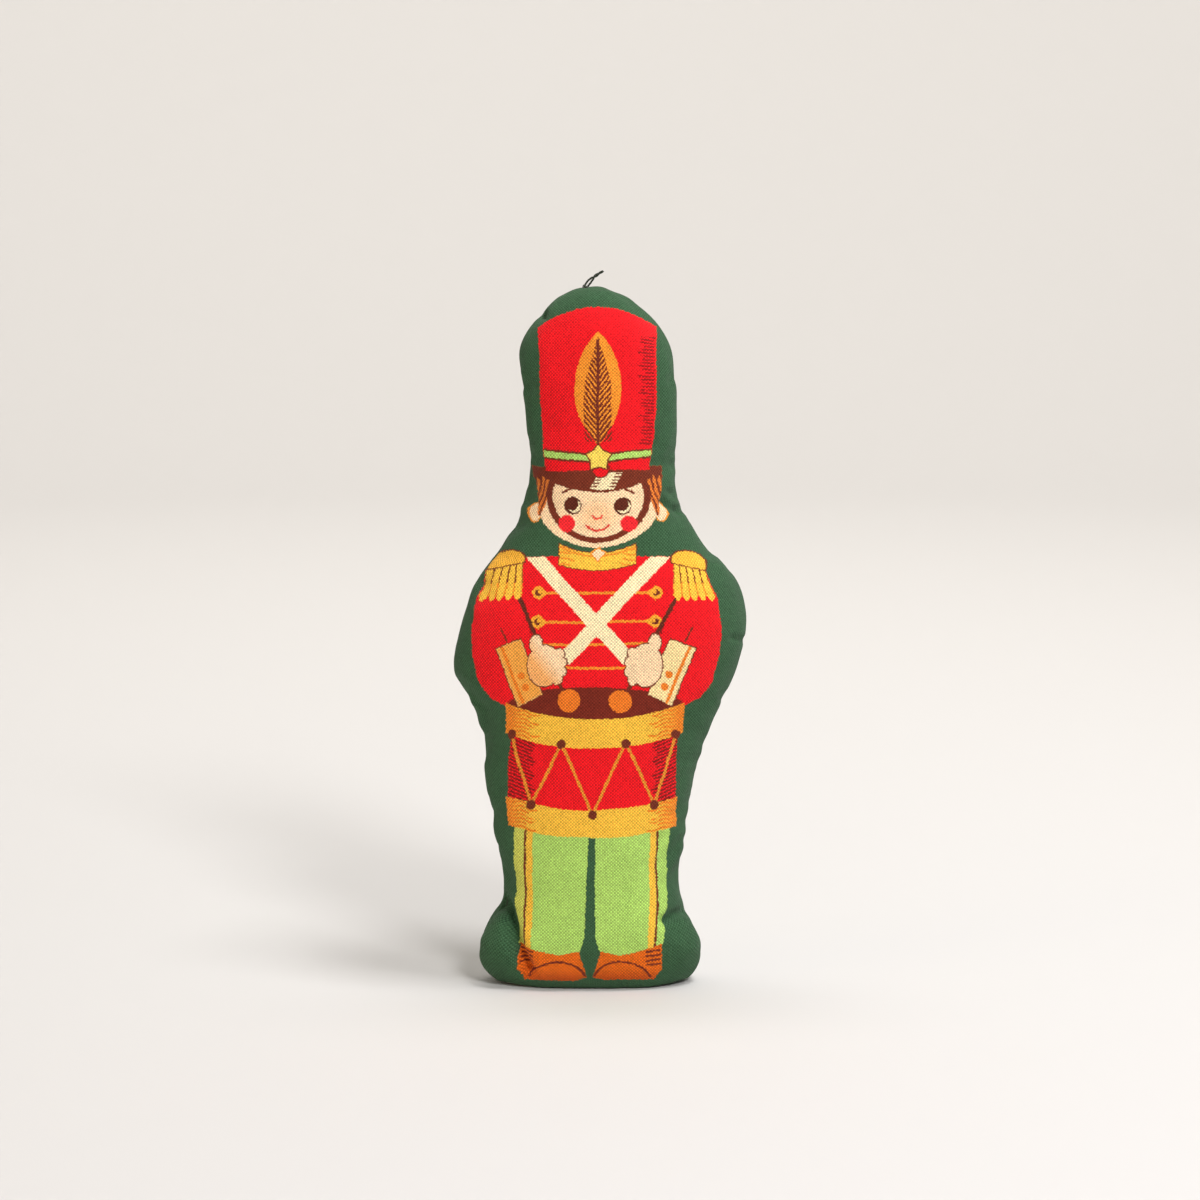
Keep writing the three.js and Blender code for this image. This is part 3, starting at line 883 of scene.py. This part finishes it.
def cotton(name, printed):
    """Plain-weave cotton, dyed green, with the drummer printed on it if it is the front."""
    made = Surface(name, 0.95)
    weave = made.uv("Weave")
    threads = made.vector("MULTIPLY", weave, (1 / THREAD_PITCH, 1 / THREAD_PITCH, 1))
    wander = made.noise(weave, 7.0).outputs["Color"]
    threads = made.vector("ADD", threads, made.vector("MULTIPLY", wander, (1.6, 1.6, 0)))
    warp, weft, _ = made.split(threads)
    odd = Field.node("FLOORED_MODULO", Field.node("FLOOR", warp) + Field.node("FLOOR", weft), 2.0)
    bow_warp = sine(Field.node("FRACT", warp) * math.pi)
    bow_weft = sine(Field.node("FRACT", weft) * math.pi)
    height = higher(bow_warp * (odd * 0.6 + 0.4), bow_weft * (1.0 - odd * 0.6))
    grain = made.speckle(threads)

    colour = GREEN
    if printed:
        fray = made.vector("MULTIPLY", grain.outputs["Color"], (FRAY, FRAY, 0))
        place = made.vector("ADD", made.uv("Print"), fray)
        drift = made.noise(weave, 16.0, 1.0).outputs["Color"]
        place = made.vector("ADD", place, made.vector("MULTIPLY", drift, (WAVER, WAVER, 0)))
        middle = (FRAY + WAVER) / 2
        x, z, _ = made.split(made.vector("SUBTRACT", place, (middle, middle, 0)))
        x = x + PRINT_LEFT + Field.node("MULTIPLY_ADD", z, -0.01, 1.12, clamp=True) * PRINT_LEAN
        a = abs(x)
        painter = Painter(made.tree, GREEN)
        print_head(painter, x, a, z)
        print_hat(painter, x, a, z)
        print_star(painter, x, z)
        coat_z = z + COAT_DROP
        print_coat(painter, a, coat_z)
        print_epaulettes(painter, a, coat_z)
        print_collar(painter, x, a, coat_z)
        print_legs(painter, x, a, z)
        print_drum(painter, a, z + DRUM_DROP)
        print_hands(painter, x, a - HANDS_OUT, z + HANDS_DROP)
        colour = painter.colour

    wear = Field(made.noise(weave, 9.0, 4.0).outputs[0])
    # Painted light and shade of the weave: thread crowns lighter and the hollows between threads darker;
    # every other crossing is lighter too
    weave_shading = height * 0.35 + odd * 0.5 + 0.36
    made.toned(colour, weave_shading + Field(grain.outputs[0]) * 0.26 + (wear - 0.5) * 0.24)
    made.bumped(height, 0.14, 0.8)
    made.sheen(0.06)
    return made.material


def spun(name, colour, ply_shade):
    """Twisted thread, with painted shade between its plies."""
    made = Surface(name, 0.7)
    x, y, z = made.split(made.local())
    twist = sine((x + z * 0.8 + y * 1.7) * 9)
    # Painted shade: the thread is darker in the grooves between its plies, lighter on their crowns
    made.toned(colour, twist * ply_shade + 1)
    made.bumped(twist, 0.06, 0.6)
    made.sheen(0.3)
    return made.material


def fibre(name):
    """White fibre filling."""
    made = Surface(name, 1.0)
    fluff = Field(made.noise(made.local(), 1.2, 6.0).outputs[0])
    made.toned(srgb(242, 240, 234), fluff * 0.4 + 0.75)
    made.bumped(fluff, 0.8, 0.8)
    made.sheen(0.2)
    return made.material


front.data.materials.append(cotton("printed_cotton", True))
back.data.materials.append(cotton("green_cotton", False))
hanging_colour = spun("hanging_thread", srgb(44, 50, 40), 0.75)
sewing_colour = spun("sewing_thread", srgb(60, 74, 54), 0.3)
filling_colour = fibre("stuffing")
for piece, material in [
    (hanging, hanging_colour),
    (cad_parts["hang_thread_inner_end"], hanging_colour),
    (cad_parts["needle_thread"], sewing_colour),
    (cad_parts["bobbin_thread"], sewing_colour),
    (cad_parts["closing_thread"], sewing_colour),
    *((filling, filling_colour) for filling in fillings),
]:
    piece.data.materials.clear()
    piece.data.materials.append(material)


# Stage, light and camera
def backdrop():
    """A round sheet of paper whose rim curves up into a wall."""
    sides = 128
    turn = np.linspace(0, 2 * math.pi, sides, endpoint=False)
    profile = [(0.02, 0), (FLOOR_RADIUS, 0)]
    for b in np.linspace(0, math.pi / 2, 24)[1:]:
        profile.append((FLOOR_RADIUS + BEND_RADIUS * math.sin(b), BEND_RADIUS - BEND_RADIUS * math.cos(b)))
    profile.append((FLOOR_RADIUS + BEND_RADIUS, WALL_HEIGHT))
    points = [(r * math.cos(t) / MM, r * math.sin(t) / MM, h / MM - 0.2) for r, h in profile for t in turn]
    faces = [tuple(range(sides))]
    for low in range(0, (len(profile) - 1) * sides, sides):
        high = low + sides
        following = [(c + 1) % sides for c in range(sides)]
        faces += [(low + c, high + c, high + d, low + d) for c, d in enumerate(following)]
    piece = link_mesh("backdrop", points, faces)
    paper = Surface("paper", 0.9)
    paper.shader.inputs["Base Color"].default_value = srgb(214, 212, 212)
    piece.data.materials.append(paper.material)


def area_light(name, place, target, size, energy, colour):
    light = bpy.data.lights.new(name, "AREA")
    light.size = size
    light.energy = energy
    light.color = colour
    lamp = bpy.data.objects.new(name, light)
    bpy.context.scene.collection.objects.link(lamp)
    lamp.location = place
    lamp.rotation_euler = (Vector(target) - Vector(place)).to_track_quat("-Z", "Y").to_euler()


backdrop()
world = bpy.data.worlds.new("studio")
bpy.context.scene.world = world
world.use_nodes = True
world.node_tree.nodes["Background"].inputs[0].default_value = (1.0, 1.0, 1.0, 1)
world.node_tree.nodes["Background"].inputs[1].default_value = 0.14
area_light("key", (0.4, -0.8, 0.72), (0, 0, 0.09), 0.26, 6.9, (1.0, 0.995, 0.98))
area_light("over", (0.4, -0.22, 1.15), (0, 0, 0.09), 0.3, 8.2, (1.0, 0.995, 0.98))
area_light("low_fill", (-0.6, -0.3, 0.1), (0, 0, 0.03), 0.25, 0.75, (1.0, 0.84, 0.45))
area_light("wall", (0, 0.4, 1.7), (0, 2.1, 0.9), 1.2, 32, (1.0, 0.965, 0.88))

camera_data = bpy.data.cameras.new("camera")
camera_data.lens = LENS
camera = bpy.data.objects.new("camera", camera_data)
bpy.context.scene.collection.objects.link(camera)
camera.location = (0, -DISTANCE * math.cos(ELEVATION), AIM_HEIGHT + DISTANCE * math.sin(ELEVATION))
camera.rotation_euler = (math.pi / 2 - ELEVATION, 0, 0)
bpy.context.scene.camera = camera
bpy.context.scene.view_settings.view_transform = "Standard"
